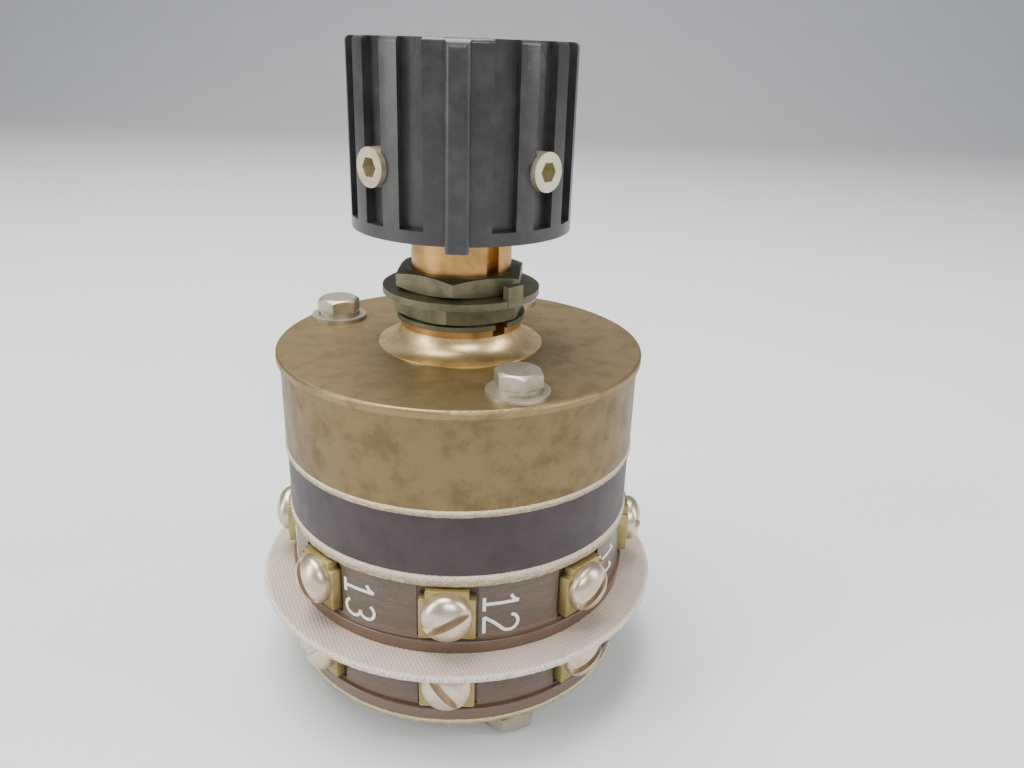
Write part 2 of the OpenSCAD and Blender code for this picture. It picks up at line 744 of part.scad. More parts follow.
z_shaft_top = z_insert + insert_h - shaft_end_inset;

module coupling_pin_places() {
    for (side = [-1, 1]) translate([0, 0, z_shaft_end + side * coupling_h / 4])
        rotate([90, 0, 90]) children();
}

module shaft() {
    chamfer = 0.5;
    z_foot = z_shaft_end + coupling_gap / 2;
    groove_r = shaft_r - ring_groove;
    color([0.7, 0.7, 0.68]) difference() {
        rotate_extrude() polygon([
            [0, z_foot], [shaft_r, z_foot],
            [shaft_r, z_retaining_ring], [groove_r, z_retaining_ring],
            [groove_r, z_stop_disc], [shaft_r, z_stop_disc],
            [shaft_r, z_shaft_top - chamfer], [shaft_r - chamfer, z_shaft_top], [0, z_shaft_top]
        ]);
        coupling_pin_places() cylinder(h = 3 * coupling_r, r = coupling_pin_d / 2 + seat_clear, center = true);
    }
}

module thrust_washer() {
    color([0.8, 0.65, 0.35]) translate([0, 0, z_thrust_washer])
        ring(thrust_washer_r, bore_r, thrust_washer_t);
}

module spring_washer() {
    color([0.5, 0.52, 0.55]) translate([0, 0, z_spring_washer]) rotate_extrude() polygon([
        [bore_r, 0], [bore_r + spring_washer_t, 0],
        [thrust_washer_r, spring_washer_h - spring_washer_t],
        [thrust_washer_r, spring_washer_h], [thrust_washer_r - spring_washer_t, spring_washer_h],
        [bore_r, spring_washer_t]
    ]);
}

module stop_disc() {
    color([0.55, 0.55, 0.52]) translate([0, 0, z_stop_disc]) rotate([0, 0, terminal_az]) difference() {
        linear_extrude(stop_disc_t) {
            circle(r = stop_hub_r);
            intersection() {
                translate([-stop_finger_w / 2, -stop_finger_r]) square([stop_finger_w, stop_finger_r]);
                circle(r = stop_finger_r);
            }
        }
        translate([0, 0, -cut]) cylinder(h = stop_disc_t + 2 * cut, r = bore_r);
    }
}

// The finger and a pin touch when their centres are this far apart
stop_contact = asin((stop_pin_d + stop_finger_w) / 2 / stop_pin_circle_r) + stop_play;

module stop_pin_places() {
    for (a = [terminal_az + travel_right + stop_contact, terminal_az - travel_left - stop_contact])
        rotate([0, 0, a]) translate([0, -stop_pin_circle_r, 0]) children();
}

module stop_pins() {
    color([0.75, 0.75, 0.72]) translate([0, 0, z_can]) stop_pin_places()
        cylinder(h = z_spring_washer - stop_pin_inset - z_can, d = stop_pin_d);
}

module retaining_ring() {
    gap_w = 2.4;
    color([0.4, 0.4, 0.42]) translate([0, 0, z_retaining_ring]) difference() {
        ring(retaining_ring_r, shaft_r - ring_groove + seat_clear, retaining_ring_t);
        translate([0, -gap_w / 2, -cut]) cube([2 * retaining_ring_r, gap_w, retaining_ring_t + 2 * cut]);
    }
}

module shaft_coupling() {
    color([0.35, 0.2, 0.1]) difference() {
        translate([0, 0, z_coupling]) ring(coupling_r, bore_r, coupling_h);
        coupling_pin_places() cylinder(h = 3 * coupling_r, r = coupling_pin_d / 2 + seat_clear, center = true);
    }
}

module coupling_pins() {
    color([0.7, 0.7, 0.68]) coupling_pin_places()
        cylinder(h = 2 * (coupling_r - coupling_pin_inset), d = coupling_pin_d, center = true);
}

// Insulating rod with two flats where the wiper hubs sit
module rotor_rod() {
    z_foot = z_base + rod_end_clear;
    z_top = z_shaft_end - coupling_gap / 2;
    z_flats = z_lower_deck + rear_flange_t + face_clear;
    color([0.5, 0.36, 0.2]) rotate([0, 0, terminal_az]) difference() {
        translate([0, 0, z_foot]) cylinder(h = z_top - z_foot, r = shaft_r);
        for (side = [-1, 1])
            translate([-shaft_r, side * (rod_flats / 2 + shaft_r) - shaft_r, z_flats])
                cube([2 * shaft_r, 2 * shaft_r, z_deck_plate - z_flats]);
        rotate([0, 0, -terminal_az]) coupling_pin_places()
            cylinder(h = 3 * coupling_r, r = coupling_pin_d / 2 + seat_clear, center = true);
    }
}

module rear_bush() {
    color([0.78, 0.62, 0.3]) translate([0, 0, z_base]) difference() {
        union() {
            cylinder(h = base_plate_t, r = rear_bush_r);
            translate([0, 0, base_plate_t]) cylinder(h = rear_flange_t, r = rear_flange_r);
        }
        translate([0, 0, -cut]) cylinder(h = base_plate_t + rear_flange_t + 2 * cut, r = shaft_r + bearing_clear);
    }
}

// ---- terminals ----

// Plate with a narrower tab at each end, lying on the floor of its slot
module terminal_plates() {
    color([0.74, 0.62, 0.38]) at_each_terminal() difference() {
        translate([0, -slot_floor_r, 0]) rotate([90, 0, 0]) linear_extrude(plate_t) {
            translate([-plate_w / 2, plate_foot]) square([plate_w, plate_body_h]);
            translate([-plate_tab_w / 2, plate_foot - plate_foot_tab])
                square([plate_tab_w, deck_h - plate_foot + plate_foot_tab]);
        }
        translate([0, 0, terminal_z]) rotate([90, 0, 0])
            cylinder(h = deck_lip_r + plate_t, r = screw_d / 2 + screw_clear);
    }
}

module upper_terminal_plates() { translate([0, 0, z_upper_deck]) terminal_plates(); }
module lower_terminal_plates() { translate([0, 0, z_lower_deck]) terminal_plates(); }

// Slotted screws with a domed head: a straight edge under a segment of a ball
module terminal_screws(slot_turn) {
    head_r = screw_head_d / 2;
    dome_h = screw_head_h - screw_edge_h;
    ball_r = (head_r * head_r + dome_h * dome_h) / (2 * dome_h);
    head_at = slot_floor_r + plate_t;
    color([0.72, 0.66, 0.52]) at_each_terminal() translate([0, 0, terminal_z]) rotate([90, 0, 0]) {
        translate([0, 0, deck_bore_r]) cylinder(h = head_at - deck_bore_r + screw_edge_h / 2, d = screw_d);
        translate([0, 0, head_at]) difference() {
            intersection() {
                cylinder(h = screw_head_h, r = head_r);
                translate([0, 0, screw_head_h - ball_r]) sphere(r = ball_r);
            }
            rotate([0, 0, slot_turn]) translate([-screw_head_d, -screw_slot_w / 2, screw_head_h - screw_slot_depth])
                cube([2 * screw_head_d, screw_slot_w, screw_head_h]);
        }
    }
}

module upper_terminal_screws() { translate([0, 0, z_upper_deck]) terminal_screws(upper_slot_turn); }
module lower_terminal_screws() { translate([0, 0, z_lower_deck]) terminal_screws(lower_slot_turn); }

// ---- windings ----

winding_from = last_tap_az - winding_overrun;
winding_angle = travel_left + travel_right + 2 * winding_overrun;

// Edge of a winding seen from above, with one crest for every turn
function winding_edge(crest_r, furrow_r) = [
    for (i = [0 : 2 * winding_turns])
        polar(i % 2 == 0 ? furrow_r : crest_r, winding_from + i * winding_angle / (2 * winding_turns))
];

module winding_former() {
    middle_r = winding_r - winding_w / 2;
    color([0.85, 0.82, 0.75]) translate([0, 0, shelf_h + former_inset])
        arc_bar(middle_r - former_w / 2, middle_r + former_w / 2, winding_h - 2 * former_inset,
            winding_from - former_overrun, winding_angle + 2 * former_overrun);
}

module winding() {
    inner_r = winding_r - winding_w;
    color([0.6, 0.45, 0.3]) difference() {
        translate([0, 0, shelf_h]) linear_extrude(winding_h) polygon(concat(
            winding_edge(winding_r, winding_r - turn_relief),
            [for (p = [2 * winding_turns : -1 : 0]) winding_edge(inner_r, inner_r + turn_relief)[p]]
        ));
        winding_former();
    }
}

module upper_winding_former() { translate([0, 0, z_upper_deck]) winding_former(); }
module lower_winding_former() { translate([0, 0, z_lower_deck]) winding_former(); }
module upper_winding() { translate([0, 0, z_upper_deck]) winding(); }
module lower_winding() { translate([0, 0, z_lower_deck]) winding(); }

// A strap between winding and ring wall, behind every terminal but the collector's
module tap_straps() {
    color([0.8, 0.5, 0.3]) for (i = [0 : terminal_count - 2]) intersection() {
        translate([0, 0, terminal_z - strap_h / 2]) ring(deck_bore_r, winding_r, strap_h);
        rotate([0, 0, tap_az(i)]) translate([-strap_w / 2, -deck_bore_r, 0])
            cube([strap_w, deck_bore_r, deck_h]);
    }
}

module upper_tap_straps() { translate([0, 0, z_upper_deck]) tap_straps(); }
module lower_tap_straps() { translate([0, 0, z_lower_deck]) tap_straps(); }

// Contact ring under the plate above, with a strip out to the collector's terminal
module collector() {
    leg_foot = terminal_z - strap_h / 2;
    color([0.82, 0.66, 0.35]) {
        translate([0, 0, collector_z]) ring(collector_r, collector_bore_r, collector_t);
        intersection() {
            rotate([0, 0, collector_az]) translate([-strap_w / 2, -deck_bore_r, 0])
                cube([strap_w, deck_bore_r, deck_h]);
            union() {
                translate([0, 0, collector_z]) ring(deck_bore_r, collector_r - cut, collector_t);
                translate([0, 0, leg_foot]) ring(deck_bore_r, winding_r, deck_h - leg_foot);
            }
        }
    }
}

module upper_collector_ring() { translate([0, 0, z_upper_deck]) collector(); }
module lower_collector_ring() { translate([0, 0, z_lower_deck]) collector(); }

// ---- wipers ----

winding_track_r = winding_r - winding_w / 2;
collector_track_r = (collector_bore_r + collector_r) / 2;

// Hole that slides over the flats of the rod
module rod_hole(z, h) {
    intersection() {
        translate([0, 0, z]) cylinder(h = h, r = bore_r);
        translate([-shaft_r * 2, -rod_flats / 2 - seat_clear, z])
            cube([shaft_r * 4, rod_flats + 2 * seat_clear, h]);
    }
}

module wiper_hub() {
    color([0.45, 0.26, 0.14]) rotate([0, 0, terminal_az]) difference() {
        translate([0, 0, arm_z - wiper_hub_h]) cylinder(h = wiper_hub_h, r = wiper_hub_r);
        rod_hole(arm_z - wiper_hub_h - cut, wiper_hub_h + 2 * cut);
    }
}

module upper_wiper_hub() { translate([0, 0, z_upper_deck]) wiper_hub(); }
module lower_wiper_hub() { translate([0, 0, z_lower_deck]) wiper_hub(); }

// Flat arm: a disc on the hub, a blade out to the winding and a tail for the collector brush
module contact_arm() {
    color([0.8, 0.62, 0.36]) translate([0, 0, arm_z]) rotate([0, 0, terminal_az]) difference() {
        linear_extrude(arm_t) {
            circle(r = wiper_hub_r);
            translate([-arm_w / 2, -winding_track_r]) square([arm_w, winding_track_r + collector_track_r]);
            translate([0, -winding_track_r]) circle(d = arm_w);
            translate([0, collector_track_r]) circle(d = arm_w);
        }
        rod_hole(-cut, arm_t + 2 * cut);
        for (y = [-winding_track_r, collector_track_r])
            translate([0, y, -cut]) cylinder(h = arm_t + 2 * cut, r = brush_shank_r + seat_clear);
    }
}

module upper_contact_arm() { translate([0, 0, z_upper_deck]) contact_arm(); }
module lower_contact_arm() { translate([0, 0, z_lower_deck]) contact_arm(); }

// Brush button under the arm, riveted over on its upper side
module winding_brush() {
    z_face = winding_top + face_clear;
    color([0.3, 0.22, 0.2]) rotate([0, 0, terminal_az]) translate([0, -winding_track_r, 0]) {
        translate([0, 0, z_face]) cylinder(h = arm_z - z_face, r = brush_r);
        translate([0, 0, z_face]) cylinder(h = arm_z + arm_t - z_face, r = brush_shank_r);
        translate([0, 0, arm_z + arm_t]) cylinder(h = brush_rivet_h, r = brush_rivet_r);
    }
}

// Brush button on the tail, with its face against the collector ring
module collector_brush() {
    z_face = collector_z - face_clear;
    color([0.3, 0.22, 0.2]) rotate([0, 0, terminal_az]) translate([0, collector_track_r, 0]) {
        translate([0, 0, arm_z + arm_t]) cylinder(h = z_face - arm_z - arm_t, r = brush_r);
        translate([0, 0, arm_z]) cylinder(h = z_face - arm_z, r = brush_shank_r);
        translate([0, 0, arm_z - brush_rivet_h]) cylinder(h = brush_rivet_h, r = brush_rivet_r);
    }
}

module upper_winding_brush() { translate([0, 0, z_upper_deck]) winding_brush(); }
module lower_winding_brush() { translate([0, 0, z_lower_deck]) winding_brush(); }
module upper_collector_brush() { translate([0, 0, z_upper_deck]) collector_brush(); }
module lower_collector_brush() { translate([0, 0, z_lower_deck]) collector_brush(); }

// ---- nodes ----

base_plate();
lower_deck_ring();
barrier_disc();
upper_deck_ring();
deck_plate();
spacer_ring();
gasket_plate();
can_shell();
cover_plate();
through_bolts();
bolt_flat_washers();
bolt_lock_washers();
bolt_nuts();
threaded_bushing();
bushing_collar();
shoulder_washer();
depth_nut();
locating_washer();
mounting_nut();
rear_bush();
stop_pins();
upper_terminal_plates();
lower_terminal_plates();
upper_terminal_screws();
lower_terminal_screws();
upper_winding_former();
lower_winding_former();
upper_winding();
lower_winding();
upper_tap_straps();
lower_tap_straps();
upper_collector_ring();
lower_collector_ring();
knob();
knob_insert();
knob_set_screws();
shaft();
thrust_washer();
spring_washer();
stop_disc();
retaining_ring();
shaft_coupling();
coupling_pins();
rotor_rod();
upper_wiper_hub();
lower_wiper_hub();
upper_contact_arm();
lower_contact_arm();
upper_winding_brush();
lower_winding_brush();
upper_collector_brush();
lower_collector_brush();
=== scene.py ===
# Two-section tapped wirewound rheostat, standing on its three bolts: a fluted knob on a threaded
# bushing, a chromated can, and two rings of screw terminals with a canvas disc between them.
# The sections follow the object from the table up. Shapes are worked out in millimetres.
import json
import math

import bpy
import numpy as np
from mathutils import Matrix, Vector


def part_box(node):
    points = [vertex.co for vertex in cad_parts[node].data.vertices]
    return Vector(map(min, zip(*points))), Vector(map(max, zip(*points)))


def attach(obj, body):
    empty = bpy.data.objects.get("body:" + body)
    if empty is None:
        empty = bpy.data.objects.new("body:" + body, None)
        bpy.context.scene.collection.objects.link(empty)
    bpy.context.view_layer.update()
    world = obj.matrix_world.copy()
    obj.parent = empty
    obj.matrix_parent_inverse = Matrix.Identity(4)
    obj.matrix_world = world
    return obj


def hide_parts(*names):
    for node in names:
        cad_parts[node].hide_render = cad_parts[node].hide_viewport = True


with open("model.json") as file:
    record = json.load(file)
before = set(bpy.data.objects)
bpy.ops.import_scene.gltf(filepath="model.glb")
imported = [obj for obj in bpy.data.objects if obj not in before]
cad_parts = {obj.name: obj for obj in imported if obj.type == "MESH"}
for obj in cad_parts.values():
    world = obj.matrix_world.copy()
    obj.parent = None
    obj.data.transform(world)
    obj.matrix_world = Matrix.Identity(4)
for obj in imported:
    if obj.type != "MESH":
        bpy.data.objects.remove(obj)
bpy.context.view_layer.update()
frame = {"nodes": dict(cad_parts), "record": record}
MM = 0.001

# ---- Table and view ----
# A pale matt sweep that lies flat under the part and curves up far behind it, lit by soft boxes
# from above and from both sides. The camera looks down from the front at a short distance.


def skin(name, *grids, closed=True):
    """Mesh over grids of points, each rows x around x xyz. Each row is a loop, and neighbouring rows are
    joined by quads. closed joins a grid's last row to its first, else each end is shut by one face."""
    faces, start = [], 0
    for rows in grids:
        count, around = rows.shape[:2]
        index = start + np.arange(count * around).reshape(count, around)
        start += count * around
        here, after = (index, np.roll(index, -1, 0)) if closed else (index[:-1], index[1:])
        quads = np.stack([here, np.roll(here, -1, 1), np.roll(after, -1, 1), after], -1)
        faces += quads.reshape(-1, 4).tolist()
        if not closed:
            faces += [index[0, ::-1].tolist(), index[-1].tolist()]
    mesh = bpy.data.meshes.new(name)
    mesh.from_pydata(np.concatenate([rows.reshape(-1, 3) for rows in grids]) * MM, [], faces)
    return mesh


class Value:
    """A shader socket in an expression: each operator adds a Math node, with numbers on either side."""

    def __init__(self, finish, link):
        self.finish = finish
        self.link = link

    def math(self, operation, *values):
        return self.finish.node("ShaderNodeMath", {"operation": operation}, values)

    def __add__(self, other):
        return self.math("ADD", self, other)

    def __sub__(self, other):
        return self.math("SUBTRACT", self, other)

    def __rsub__(self, other):
        return self.math("SUBTRACT", other, self)

    def __mul__(self, other):
        return self.math("MULTIPLY", self, other)

    def __abs__(self):
        return self.math("ABSOLUTE", self)

    __radd__ = __add__
    __rmul__ = __mul__

    def ramp(self, low, high):
        """0 below low, 1 above high and an eased rise between them; falls instead if low > high."""
        limits = {0: self, 1: min(low, high), 2: max(low, high), 3: 0, 4: 1}
        if low > high:
            limits.update({3: 1, 4: 0})
        return self.finish.node("ShaderNodeMapRange", {"interpolation_type": "SMOOTHSTEP"}, limits)

    def part(self, axis):
        """One coordinate of a vector: 0, 1 or 2 for x, y or z."""
        return self.finish.node("ShaderNodeSeparateXYZ", {}, [self], output=axis)


class Finish:
    """A material: a Principled shader and the place in millimetres of the point that is shaded."""

    def __init__(self, name):
        self.material = bpy.data.materials.new(name)
        self.material.use_nodes = True
        self.nodes = self.material.node_tree.nodes
        self.links = self.material.node_tree.links
        self.shader = self.nodes["Principled BSDF"]
        place = self.node("ShaderNodeTexCoord", {}, {}, output=3)
        self.place = self.node("ShaderNodeVectorMath", {"operation": "SCALE"}, {0: place, 3: 1 / MM})

    def node(self, kind, settings, sockets, output=0):
        """Any node: its settings first, a ramp's stops among them, then its sockets' values or links."""
        node = self.nodes.new(kind)
        for key, value in settings.items():
            if key == "stops":
                ramp = node.color_ramp
                for _ in value[2:]:
                    ramp.elements.new(0.5)
                for element, (position, colour) in zip(ramp.elements, value):
                    element.position = position
                    element.color = (*colour, 1)
            else:
                setattr(node, key, value)
        pairs = sockets.items() if isinstance(sockets, dict) else enumerate(sockets)
        for key, value in pairs:
            self.plug(node.inputs[key], value)
        return Value(self, node.outputs[output])

    def plug(self, socket, value):
        """Links a value to a socket, or sets it there when it is a number or a colour."""
        if isinstance(value, Value):
            self.links.new(value.link, socket)
        elif socket.type == "RGBA":
            socket.default_value = (*value, 1)
        else:
            socket.default_value = value

    def noise(self, per_mm, detail=2.0, rough=0.5, stretch=(1, 1, 1)):
        """Soft noise about 0.5 with per_mm cells in a millimetre; stretch squeezes its grain."""
        at = self.node("ShaderNodeVectorMath", {"operation": "MULTIPLY"}, [self.place, stretch])
        return self.node("ShaderNodeTexNoise", {}, {
            "Vector": at, "Scale": per_mm, "Detail": detail, "Roughness": rough,
        })

    def own(self, name):
        """A number that the mesh itself carries."""
        return self.node("ShaderNodeAttribute", {"attribute_name": name}, {}, output=2)

    def mix(self, share, first, second):
        """Colour between first, at share 0, and second, at share 1."""
        sockets = {0: share, 6: first, 7: second}
        return self.node("ShaderNodeMix", {"data_type": "RGBA"}, sockets, output=2)

    def layers(self, colour, *coats):
        """A colour with coats (share, colour) laid over it one after another."""
        for share, coat in coats:
            colour = self.mix(share, colour, coat)
        return colour

    def done(self, colour, roughness, metallic=0.0, relief=None, depth=0.02, coat=0.0, coat_roughness=0.1):
        """Sets the shader; relief from 0 to 1 stands depth millimetres high."""
        sockets = self.shader.inputs
        self.plug(sockets["Base Color"], colour)
        self.plug(sockets["Roughness"], roughness)
        self.plug(sockets["Metallic"], metallic)
        self.plug(sockets["Coat Weight"], coat)
        sockets["Coat Roughness"].default_value = coat_roughness
        if relief is not None:
            bump = {"Height": relief, "Distance": depth * MM, "Strength": 1.0}
            self.plug(sockets["Normal"], self.node("ShaderNodeBump", {}, bump))
        return self.material


sweep_width = 1.6
sweep_front = -0.9
bend_start = 0.7
bend_radius = 0.45
wall_height = 0.9
bend = np.linspace(0, math.pi / 2, 25)
sweep_y = np.concatenate([[sweep_front], bend_start + bend_radius * np.sin(bend), [bend_start + bend_radius]])
sweep_z = np.concatenate([[0], bend_radius * (1 - np.cos(bend)), [wall_height]])
sweep_x = np.array([-sweep_width, sweep_width])
sweep_points = np.stack(np.broadcast_arrays(sweep_x, sweep_y[:, None], sweep_z[:, None]), -1)
strips = np.arange(len(sweep_y) - 1)[:, None] * 2 + np.array([0, 1, 3, 2])
sweep_mesh = bpy.data.meshes.new("sweep")
sweep_mesh.from_pydata(sweep_points.reshape(-1, 3), [], strips.tolist())
sweep_mesh.shade_smooth()
sweep = bpy.data.objects.new("sweep", sweep_mesh)
bpy.context.scene.collection.objects.link(sweep)
paper = Finish("pale_paper")
sweep_mesh.materials.append(paper.done(
    paper.mix(paper.noise(0.02), (0.60, 0.60, 0.61), (0.64, 0.64, 0.65)), roughness=0.85))

world = bpy.data.worlds.new("room")
bpy.context.scene.world = world
world.use_nodes = True
room_light = world.node_tree.nodes["Background"].inputs
room_light["Color"].default_value = (0.86, 0.92, 1.0, 1)
room_light["Strength"].default_value = 0.35

aim = Vector((0, 0, 0.045))


def soft_box(name, place, size, power, colour=(1, 1, 1)):
    """A rectangular light at a place in metres, turned to the middle of the part."""
    lamp = bpy.data.lights.new(name, "AREA")
    lamp.shape = "RECTANGLE"
    lamp.size, lamp.size_y = size
    lamp.energy = power
    lamp.color = colour
    box = bpy.data.objects.new(name, lamp)
    box.location = place
    box.rotation_euler = (aim - Vector(place)).to_track_quat("-Z", "Y").to_euler()
    bpy.context.scene.collection.objects.link(box)


soft_box("overhead_box", (-0.10, 0.05, 0.62), (0.55, 0.40), 9.0, (1.0, 0.98, 0.94))
soft_box("left_box", (-0.50, -0.22, 0.26), (0.16, 0.50), 2.4)
soft_box("right_box", (0.52, -0.10, 0.30), (0.14, 0.45), 2.0)
soft_box("front_box", (0.12, -0.55, 0.42), (0.35, 0.18), 2.2)

view_place = Vector((4.765, -98.656, 77.051)) * MM
view_yaw = math.radians(1.01)
view_pitch = math.radians(21.78)
view_roll = math.radians(1.86)
lens_mm = 29.54
ahead = Vector((math.sin(view_yaw) * math.cos(view_pitch), math.cos(view_yaw) * math.cos(view_pitch),
                -math.sin(view_pitch)))
level = ahead.cross(Vector((0, 0, 1))).normalized()
upright = level.cross(ahead)
right = level * math.cos(view_roll) + upright * math.sin(view_roll)
up = upright * math.cos(view_roll) - level * math.sin(view_roll)
camera = bpy.data.objects.new("camera", bpy.data.cameras.new("camera"))
camera.data.lens = lens_mm
camera.data.clip_start = MM
camera.matrix_world = Matrix.Translation(view_place) @ Matrix((right, up, -ahead)).transposed().to_4x4()
bpy.context.scene.collection.objects.link(camera)
bpy.context.scene.camera = camera

# ---- Laminate plates ----
# Bottom plate, thick plate and thin plate: sawn from sheets of resin-bonded linen. Their cut edges
# are fuzzy with the ends of the fibres and carry a painted highlight on their upper part, and the bolts hold
# them between the rings.


def extent(node):
    """Outer radius, foot and top of a CAD node, in millimetres."""
    low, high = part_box(node)
    return high.x / MM, low.z / MM, high.z / MM


def rounded(*corners, steps=5):
    """Outline through corners (x, y, radius): straight between them, and a circle's arc at each."""
    points = np.array([corner[:2] for corner in corners], float)
    outline = []
    for i, corner in enumerate(corners):
        here = points[i]
        radius = corner[2] if len(corner) > 2 else 0
        if radius == 0:
            outline.append(here[None])
            continue
        back = points[i - 1] - here
        onward = points[(i + 1) % len(points)] - here
        back /= np.linalg.norm(back)
        onward /= np.linalg.norm(onward)
        half = math.acos(np.clip(back @ onward, -1, 1)) / 2
        middle = (back + onward) / np.linalg.norm(back + onward) * radius / math.sin(half)
        first = back * radius / math.tan(half) - middle
        last = onward * radius / math.tan(half) - middle
        turn = math.pi - 2 * half
        share = np.linspace(0, 1, steps + 1)[:, None]
        arc = (np.sin((1 - share) * turn) * first + np.sin(share * turn) * last) / math.sin(turn)
        outline.append(here + middle + arc)
    return np.concatenate(outline)


def circle(count):
    """Evenly spaced azimuths in radians, counted from the front towards the right."""
    return np.linspace(0, 2 * math.pi, count, endpoint=False)


def around(radius, height, azimuth):
    """Points at a radius and height round the shaft axis; the three arrays broadcast."""
    return np.stack(np.broadcast_arrays(radius * np.sin(azimuth), -radius * np.cos(azimuth), height), -1)


def ripple(azimuth, waves, seed):
    """Unevenness round a rim, about -1 to 1: cosines of the given wave counts with seeded phases."""
    phases = np.random.default_rng(seed).uniform(0, 2 * math.pi, len(waves))
    return np.cos(azimuth[..., None] * np.array(waves) + phases).sum(-1) / math.sqrt(len(waves))


def fit(name, mesh, body, slot, material, *nodes, crease=35):
    """Puts a mesh in the scene as a piece that rides on a body and stands for the given CAD nodes."""
    mesh.validate()
    mesh.shade_smooth()
    mesh.set_sharp_from_angle(angle=math.radians(crease))
    mesh.materials.append(material)
    piece = bpy.data.objects.new(name, mesh)
    bpy.context.scene.collection.objects.link(piece)
    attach(piece, body)
    if nodes:
        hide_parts(*nodes)
    return piece


def cut_laminate(name, face, fibre_and_sheen):
    """Resin-bonded linen: woven faces, and a grainy edge of pale fibre ends in darker resin, laid on more
    thickly towards the top of the edge as a painted highlight.
    """
    f = Finish(name)
    grain = f.noise(5.5, 3, 0.65, (1, 1, 1.6))
    threads = f.noise(1.3, 2, 0.6, (1, 1, 4))
    blotch = f.noise(0.35, 2)
    colour = f.layers(
        f.mix(grain.ramp(0.36, 0.62), tuple(0.45 * c for c in face), face),
        (threads.ramp(0.45, 0.75) * 0.5, fibre_and_sheen),
        (blotch.ramp(0.5, 0.75) * 0.35, tuple(0.6 * c for c in face)),
        # Pale fibre ends on the sawn edge, masked to rise towards the top of the edge: the upper part is a
        # painted highlight.
        (f.own("rim").ramp(0.35, 0.95) * grain.ramp(0.3, 0.5) * 0.75, fibre_and_sheen),
    )
    return f.done(colour, 0.72, relief=grain + threads, depth=0.07)


def sawn_plate(name, node, bore, edge_round, fuzz, seed, material):
    """Disc with a hole: a rounded edge that wavers by fuzz millimetres, with a painted highlight that grows
    towards the top of the edge, where it faces up.
    """
    radius, foot, top = extent(node)
    profile = rounded((bore, foot), (radius, foot, edge_round),
                      (radius, top, edge_round), (bore, top), steps=7)
    azimuth = circle(900)
    outer = profile[:, :1] > bore + 1
    slow_waver = ripple(azimuth, (7, 19, 31, 53), seed)
    quick_waver = ripple(azimuth, (97, 151, 211), seed + 1)
    waver = fuzz * (0.6 * slow_waver + 0.4 * quick_waver)
    rise = 0.5 * fuzz * ripple(azimuth, (3, 11, 41, 83), seed + 2)
    edge = (profile[:, :1] > radius - 1.5 * edge_round)
    rows = around(profile[:, :1] + outer * (waver - fuzz), profile[:, 1:] + edge * rise, azimuth)
    mesh = skin(name, rows)
    # Mask for the edge colour: zero at the foot of the edge, one at its top, so the painted highlight sits on
    # the upper edge.
    rim = edge * np.clip((profile[:, 1:] - foot) / (top - foot), 0, 1) + 0 * azimuth
    mesh.attributes.new("rim", "FLOAT", "POINT").data.foreach_set("value", rim.ravel())
    return fit(name, mesh, "housing", "laminate", material, node)


passage = 4.4
rear_hole = 4.6
tan_edge = cut_laminate("laminate_tan", (0.40, 0.31, 0.19), (0.74, 0.66, 0.48))
green_edge = cut_laminate("laminate_green", (0.36, 0.31, 0.15), (0.66, 0.60, 0.36))
sawn_plate("bottom_plate", "base_plate", rear_hole, 0.2, 0.035, 11, green_edge)
sawn_plate("thick_plate", "deck_plate", passage, 0.5, 0.05, 21, tan_edge)
sawn_plate("thin_plate", "gasket_plate", passage, 0.25, 0.04, 31, tan_edge)

# ---- Canvas barrier disc ----
# Plain-woven canvas, stiffened with resin and cut round. It stands out between the two rings so
# that the terminals above and below can't touch. Its cut edge is slightly furry and wavy.


def stiff_canvas():
    """Plain weave: warp and weft take turns on top, each thread a half-round ridge."""
    pitch = 0.43
    turn = math.radians(24)
    f = Finish("stiff_canvas")
    wander = (f.noise(0.5, 1) - 0.5) * 0.25
    straight = math.cos(turn) * math.pi / pitch
    slanted = math.sin(turn) * math.pi / pitch
    x = f.place.part(0) * straight + f.place.part(1) * slanted
    y = f.place.part(1) * straight - f.place.part(0) * slanted
    warp = (x + wander).math("SINE", x + wander)
    weft = (y - wander).math("SINE", y - wander)
    over = (warp * weft).ramp(-0.15, 0.15)
    weave = over * abs(warp) + (1 - over) * abs(weft)
    thread = f.noise(0.9, 2, 0.6)
    dirt = f.noise(0.16, 3, 0.6)
    speck = f.noise(7.0, 2, 0.6)
    colour = f.layers(
        f.mix(weave.ramp(0.05, 0.8), (0.27, 0.21, 0.16), (0.52, 0.43, 0.35)),
        ((over - 0.5) * (thread - 0.2), (0.62, 0.54, 0.45)),
        (dirt.ramp(0.45, 0.72) * 0.4, (0.36, 0.28, 0.21)),
        (speck.ramp(0.60, 0.72) * 0.5, (0.70, 0.64, 0.55)),
        (f.own("rim") * speck.ramp(0.40, 0.58) * 0.8, (0.72, 0.66, 0.57)),
    )
    return f.done(colour, 0.85, relief=weave + speck * 0.5, depth=0.06)


disc_radius, disc_foot, disc_top = extent("barrier_disc")
disc_round = 0.3
disc_sag = 0.10
disc_profile = rounded((passage, disc_foot), (disc_radius, disc_foot, disc_round),
                       (disc_radius, disc_top, disc_round), (passage, disc_top), steps=6)
free_from, free_step = 22.0, 0.35
free_radii = np.arange(free_from, disc_radius - disc_round, free_step)
below_half = np.stack([free_radii, np.full_like(free_radii, disc_foot)], -1)
above_half = np.stack([free_radii[::-1], np.full_like(free_radii, disc_top)], -1)
disc_profile = np.concatenate(
    [disc_profile[:1], below_half, disc_profile[1:-1], above_half, disc_profile[-1:]])
disc_azimuth = circle(720)
free_share = np.clip((disc_profile[:, :1] - free_from) / (disc_radius - free_from), 0, 1)
disc_fur = 0.03 * (ripple(disc_azimuth, (61, 89, 131, 173), 41) - 1.4) * (free_share > 0.95)
disc_wave = disc_sag * free_share ** 1.5 * ripple(disc_azimuth, (2, 3, 5), 42)
disc_rows = around(disc_profile[:, :1] + disc_fur, disc_profile[:, 1:] + disc_wave, disc_azimuth)
